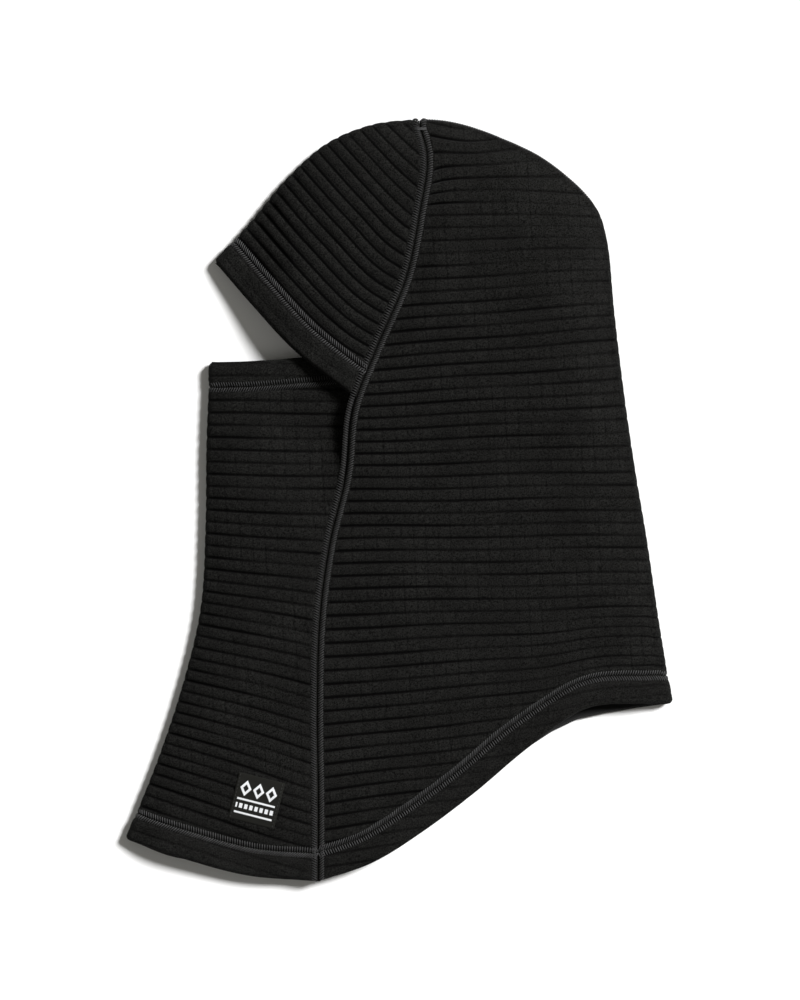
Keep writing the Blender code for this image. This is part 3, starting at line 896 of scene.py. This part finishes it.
@once
def fleece_material():
    """Black grid fleece: painted shade in the grooves between the ribs and along the faint crossing
    lines, a fine knit and speckle.
    """
    g = Graph("black_grid_fleece")
    rib, wale, hem, seam = (g.attribute(name) for name in ("rib", "wale", "hem", "seam"))
    off_seam = g.math("SUBTRACT", 1.0, seam)
    open_cloth = g.math("MULTIPLY", off_seam, g.math("MULTIPLY_ADD", hem, -0.72, 1.0))
    uneven = g.noise(60.0, 3.0)
    line = g.spread(from_middle(g, rib), 0.62, 1.0)
    across = g.spread(from_middle(g, wale), 0.74, 1.0)
    patches = g.spread(uneven, 0.4, 0.65, 0.15, 0.8)
    line = g.math("MULTIPLY", line, g.attribute("deep"))
    across = g.math("MULTIPLY", g.math("MULTIPLY", across, open_cloth), patches)
    knit = g.math(
        "MULTIPLY",
        g.math("SINE", g.math("MULTIPLY", rib, 2 * math.pi * 9)),
        g.math("SINE", g.math("MULTIPLY", wale, 2 * math.pi * 11)),
    )
    fuzz = g.noise(2600.0, 3.0, 0.7)
    heather = g.noise(1500.0, 2.0, 0.6)
    speckle = g.spread(heather, 0.32, 0.68, 0.15, 2.1)
    tone = g.math("MULTIPLY", speckle, g.spread(uneven, 0.25, 0.75, 0.85, 1.15))
    # Painted shade: the colour darkens in each groove between the ribs, as much as the attribute deep
    # says
    tone = g.math("MULTIPLY", tone, g.math("MAXIMUM", g.math("MULTIPLY_ADD", line, -0.85, 1.0), 0.08))
    # Painted shade: the colour darkens along the faint crossing lines, less on hems and seams
    tone = g.math("MULTIPLY", tone, g.math("MULTIPLY_ADD", across, -0.4, 1.0))
    colour = g.scaled(FLEECE_COLOUR, tone)
    height = g.math("MULTIPLY_ADD", line, -0.45 * MM, g.math("MULTIPLY", across, -0.16 * MM))
    height = g.math("MULTIPLY_ADD", knit, 0.02 * MM, height)
    height = g.math("MULTIPLY_ADD", fuzz, 0.12 * MM, height)
    return g.finish(
        colour, 0.92, height,
        Specular_IOR_Level=0.04, Sheen_Weight=0.03, Sheen_Roughness=0.5, Sheen_Tint=(0.5, 0.5, 0.5, 1),
    )


@once
def lining_material():
    """The brushed inner face, darker and softer."""
    g = Graph("brushed_inner_face")
    pile = g.noise(1500.0, 4.0, 0.75)
    tone = g.spread(pile, 0.3, 0.7, 0.5, 1.2)
    colour = g.scaled(LINING_COLOUR, tone)
    return g.finish(
        colour, 1.0, g.math("MULTIPLY", pile, 0.35 * MM),
        Specular_IOR_Level=0.05, Sheen_Weight=0.1, Sheen_Roughness=0.7,
    )


def thread(name, colour):
    g = Graph(name)
    shade = g.attribute("shade")
    twist = g.noise(3200.0, 2.0)
    tone = g.math("MULTIPLY", g.spread(shade, 0.0, 1.0, 0.7, 1.3), g.spread(twist, 0.3, 0.7, 0.7, 1.25))
    scaled = g.scaled(colour, tone)
    return g.finish(
        scaled, 0.6, g.math("MULTIPLY", twist, 0.08 * MM),
        Specular_IOR_Level=0.35, Sheen_Weight=0.1,
    )


@once
def thread_material():
    return thread("grey_hem_thread", HEM_THREAD_COLOUR)


# Seam thread; the mouth hem's stitches take it too, as painted shade
@once
def seam_thread_and_shade_material():
    return thread("dark_seam_thread_and_shade", SEAM_THREAD_AND_SHADE_COLOUR)


@once
def floor_material():
    g = Graph("pale_floor")
    mottle = g.noise(3.0, 3.0)
    tone = g.spread(mottle, 0.3, 0.7, 0.985, 1.0)
    colour = g.node("ShaderNodeVectorMath", {0: (0.9, 0.9, 0.9), "Scale": tone}, operation="SCALE")
    return g.finish(colour, 0.9, None, Specular_IOR_Level=0.1)


@once
def label_material():
    """A dense woven patch in charcoal with a plain motif of diamonds and lines in pale thread."""
    g = Graph("woven_label")
    x, y = g.attribute("label_x"), g.attribute("label_y")
    weave = g.math(
        "MULTIPLY",
        g.math("SINE", g.math("MULTIPLY", x, 2 * math.pi * 44)),
        g.math("SINE", g.math("MULTIPLY", y, 2 * math.pi * 60)),
    )
    motif = g.math("MAXIMUM", diamonds(g, x, y), label_lines(g, x, y))
    colour = g.mixed(motif, (0.009, 0.009, 0.0075, 1), (0.7, 0.71, 0.73, 1))
    tone = g.spread(weave, -1.0, 1.0, 0.8, 1.15)
    shaded = g.scaled(colour, tone)
    height = g.math("MULTIPLY_ADD", weave, 0.03 * MM, g.math("MULTIPLY", motif, 0.05 * MM))
    return g.finish(shaded, 0.7, height, Specular_IOR_Level=0.12)


def inside(graph, value, low, high):
    above = graph.math("GREATER_THAN", value, low)
    return graph.math("MULTIPLY", above, graph.math("LESS_THAN", value, high))


def diamonds(g, x, y):
    """Three outlined diamonds in a row across the upper half of the label."""
    column = g.math("MULTIPLY", x, 3.6)
    local = g.math("ABSOLUTE", g.math("SUBTRACT", g.math("FRACT", g.math("ADD", column, 0.5)), 0.5))
    rise = g.math("ABSOLUTE", g.math("MULTIPLY", g.math("SUBTRACT", y, 0.2), 2.6))
    reach = g.math("ADD", local, rise)
    outline = inside(g, reach, 0.22, 0.44)
    return g.math("MULTIPLY", outline, inside(g, x, -0.417, 0.417))


def label_lines(g, x, y):
    """A full line, a row of dashes and a thin line below the diamonds."""
    width = inside(g, x, -0.41, 0.41)
    full = g.math("MULTIPLY", inside(g, y, -0.06, -0.02), width)
    dash = g.math("LESS_THAN", g.math("FRACT", g.math("MULTIPLY", x, 9.0)), 0.62)
    dashes = g.math("MULTIPLY", g.math("MULTIPLY", dash, inside(g, y, -0.23, -0.13)), width)
    thin = g.math("MULTIPLY", inside(g, y, -0.35, -0.31), width)
    return g.math("MAXIMUM", full, g.math("MAXIMUM", dashes, thin))


@once
def care_material():
    g = Graph("blank_satin_tape")
    satin = g.node("ShaderNodeTexWave", {"Vector": g.place(), "Scale": 900.0, "Distortion": 0.4}, "Fac")
    colour = g.mixed(satin, (0.5, 0.5, 0.49, 1), (0.6, 0.6, 0.59, 1))
    return g.finish(colour, 0.45, g.math("MULTIPLY", satin, 0.02 * MM), Specular_IOR_Level=0.4)


# ---- Labels

def turned(x, y, tilt):
    """Points turned about the origin by an angle."""
    c, s = math.cos(tilt), math.sin(tilt)
    return np.stack([x * c - y * s, x * s + y * c], -1)


def patch(name, size, centre, tilt, top, thickness, made, steps):
    """A thin flat piece with rounded edges, whose height is given by a function of the plan."""
    across, up = np.meshgrid(edge_steps(size[0], steps[0]), edge_steps(size[1], steps[1]))
    plan = turned(across, up, tilt) + np.array(centre)
    from_edge = np.minimum(size[0] / 2 - np.abs(across), size[1] / 2 - np.abs(up))
    roll = edge_roll(from_edge, thickness)
    height = top(plan)
    upper = np.dstack([plan, height - roll])
    lower = np.dstack([plan, height - thickness + roll])
    values = {"label_x": across / size[0], "label_y": up / size[1]}
    return closed_shell(name, upper, lower, [made, made], values, False)


def edge_steps(size, count):
    """Places across a patch, closer together at both edges."""
    rim = np.array([0, 0.1, 0.25, 0.5]) * MM
    middle = np.linspace(-size / 2 + MM, size / 2 - MM, count - 2 * len(rim))
    return np.r_[-size / 2 + rim, middle, size / 2 - rim[::-1]]


def on_front(plan):
    return front_height(plan) + 0.55 * MM - 0.12 * MM * groove(front_ribs(plan))


def inside_back(plan):
    return rear_height(plan) - FABRIC - 0.6 * MM


def make_labels():
    centre = np.array(LABEL_CENTRE) * MM
    size = (LABEL_SIZE, LABEL_SIZE)
    name = "woven_label_patch"
    woven = patch(name, size, centre, LABEL_TILT, on_front, LABEL_THICKNESS, label_material(), (55, 55))
    woven = joined(name, [woven, label_tacks(on_front, centre)])

    name = "care_label_tape"
    size = CARE_LABEL_SIZE
    centre = np.array(CARE_LABEL_CORNER) * MM + np.array(size) / 2
    care = patch(name, size, centre, 0.0, inside_back, CARE_LABEL_THICKNESS, care_material(), (15, 21))

    for made, node, slot in ((woven, "woven_label", "label"), (care, "care_label", "care_tape")):
        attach(made, "garment")
        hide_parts(node)


def label_tacks(top, centre):
    """A line of small dark stitches along the label's two sides."""
    up = np.linspace(-LABEL_SIZE / 2 + 1.2 * MM, LABEL_SIZE / 2 - 1.2 * MM, 13)
    ends = []
    for side in (-1, 1):
        for shift in (-0.55, 0.55):
            x = np.full(len(up), side * (LABEL_SIZE / 2 - 1.1 * MM))
            y = up + shift * MM
            plan = turned(x, y, LABEL_TILT) + centre
            ends.append(np.column_stack([plan, top(plan)]))
    first, second = np.vstack([ends[0], ends[2]]), np.vstack([ends[1], ends[3]])
    out = np.tile([0, 0, 1.0], (len(first), 1))
    return bars("tacks", (first, second), out, TACK_RADIUS, 0.12 * MM, seam_thread_and_shade_material())


# ---- The garment

def plan_grids(fill):
    """A near plan, a far plan with fewer columns, and the places on the fold where the rows start."""
    near, starts = fill(NEAR_COLUMNS)
    far, _ = fill(FAR_COLUMNS)
    return near, far, starts


def odd_rows(length, low_hem, high_hem):
    """Rows a step apart, an odd number of them, as a closed shell needs."""
    for stretch in np.linspace(1, 1.05, 60):
        made = fractions(length, ROW_STEP * stretch, low_hem, high_hem)
        if len(made) % 2:
            return made
    raise RuntimeError("no odd number of rows")


def make_front():
    heights = (front_height, front_floor)
    shape = Shape(front_fold, -1, seam_front, heights, front_ribs, level_wales, front_depth, 0.5)
    v = odd_rows(285 * MM, True, True)
    plans = plan_grids(lambda u: between_lines(shape, neck_edge, mouth_edge, u, v))
    hems = [(neck_edge, HEM_WIDTHS["neck"]), (mouth_edge, HEM_WIDTHS["mouth"])]
    return shape, make_cloth("front_cloth", shape, plans, hems, 21)


def make_brow():
    heights = (rear_height, flat_floor)
    shape = Shape(rear_fold, 1, seam_front, heights, brow_ribs, brow_wales, brow_depth, 0.8)
    v = odd_rows(150 * MM, True, False)
    fold_top = crossing(rear_fold, seam_front)
    run = crossing(seam_front, brow_edge) - crossing(seam_front, rear_fold)
    corner = (0.5, (crossing(rear_fold, brow_edge) + fold_top) / 2, (run + CORNER_RUN) / 2)
    plans = plan_grids(lambda u: to_crown(shape, brow_edge, corner, u, v))
    return shape, make_cloth("brow_cloth", shape, plans, [(brow_edge, HEM_WIDTHS["brow"])], 5)


def make_back():
    heights = (rear_height, flat_floor)
    shape = Shape(rear_fold, 1, seam_back, heights, back_ribs, level_wales, back_depth, 0.45)
    v = odd_rows(385 * MM, True, False)
    corner = (0.72, nearest(rear_fold, np.array(BACK_FOLD[0]) * MM), 45 * MM)
    plans = plan_grids(lambda u: to_crown(shape, neck_edge, corner, u, v))
    return shape, make_cloth("back_cloth", shape, plans, [(neck_edge, HEM_WIDTHS["neck"])], 12)


def make_garment():
    front, front_cloth = make_front()
    brow, brow_cloth = make_brow()
    back, back_cloth = make_back()

    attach(back_cloth, "garment")
    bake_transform(brow_cloth)
    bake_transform(front_cloth)
    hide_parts("back_panel", "back_neck_hem")
    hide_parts("brow_panel", "brow_hem")
    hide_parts("front_neck_panel", "front_neck_hem", "mouth_hem")

    grey, dark = thread_material(), seam_thread_and_shade_material()
    neck, up, down = (neck_edge, HEM_WIDTHS["neck"]), HEM_WIDTHS["brow"], -HEM_WIDTHS["mouth"]
    stitches = [
        (coverstitch("brow_coverstitch", brow, brow_edge, up, grey), "brow_hem_stitching"),
        # Painted shade: the mouth hem's stitches take the darker seam thread to stand for the shade they
        # lie in
        (coverstitch("mouth_coverstitch", front, mouth_edge, down, dark), "mouth_hem_stitching"),
        (coverstitch("front_neck_coverstitch", front, *neck, grey), "front_neck_hem_stitching"),
        (coverstitch("back_neck_coverstitch", back, *neck, grey), "back_neck_hem_stitching"),
    ]
    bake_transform(stitches[0][0])
    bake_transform(stitches[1][0])
    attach(stitches[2][0], "garment")
    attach(stitches[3][0], "garment")
    stand_for(stitches)

    seams = [
        (flatlock("left_flatlock", True), "left_side_seam"),
        (flatlock("right_flatlock", False), "right_side_seam"),
        (crown_threads(), "crown_seam"),
    ]
    for made, _ in seams:
        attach(made, "garment")
    stand_for(seams)

    make_labels()


def stand_for(pairs):
    for made, node in pairs:
        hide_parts(node)


# ---- Stage

def make_floor():
    points = np.array([(-3, -3, -0.0003), (3, -3, -0.0003), (3, 3, -0.0003), (-3, 3, -0.0003)], float)
    floor = mesh_object("floor", points, [np.array([[0, 1, 2, 3]])], [floor_material()])


def add_light(name, kind, way, strength, spread):
    """A light that shines from a direction towards the origin."""
    data = bpy.data.lights.new(name, kind)
    data.energy = strength
    if kind == "SUN":
        data.angle = spread
    else:
        data.size = spread
    made = bpy.data.objects.new(name, data)
    made.location = way
    tilt = math.atan2(math.hypot(way[0], way[1]), way[2])
    made.rotation_euler = (tilt, 0, math.atan2(way[1], way[0]) + math.pi / 2)
    bpy.context.scene.collection.objects.link(made)


def make_stage():
    make_floor()
    add_light("key", "SUN", KEY_PLACE, KEY_STRENGTH, KEY_ANGLE)
    add_light("fill", "AREA", FILL_PLACE, FILL_POWER, FILL_SIZE)
    world = bpy.data.worlds.new("studio")
    world.use_nodes = True
    sky = world.node_tree.nodes["Background"]
    sky.inputs["Color"].default_value = WORLD_COLOUR
    sky.inputs["Strength"].default_value = WORLD_STRENGTH
    bpy.context.scene.world = world
    bpy.context.scene.view_settings.view_transform = "Standard"


def make_camera():
    """Straight down from above, as the photograph was taken."""
    data = bpy.data.cameras.new("camera")
    data.sensor_fit = "VERTICAL"
    data.sensor_height = 24
    data.lens = 24 * CAMERA_HEIGHT / VIEW_HEIGHT
    camera = bpy.data.objects.new("camera", data)
    camera.location = (VIEW_CENTRE[0], VIEW_CENTRE[1], CAMERA_HEIGHT + 10 * MM)
    bpy.context.scene.collection.objects.link(camera)
    bpy.context.scene.camera = camera


make_garment()
make_stage()
make_camera()
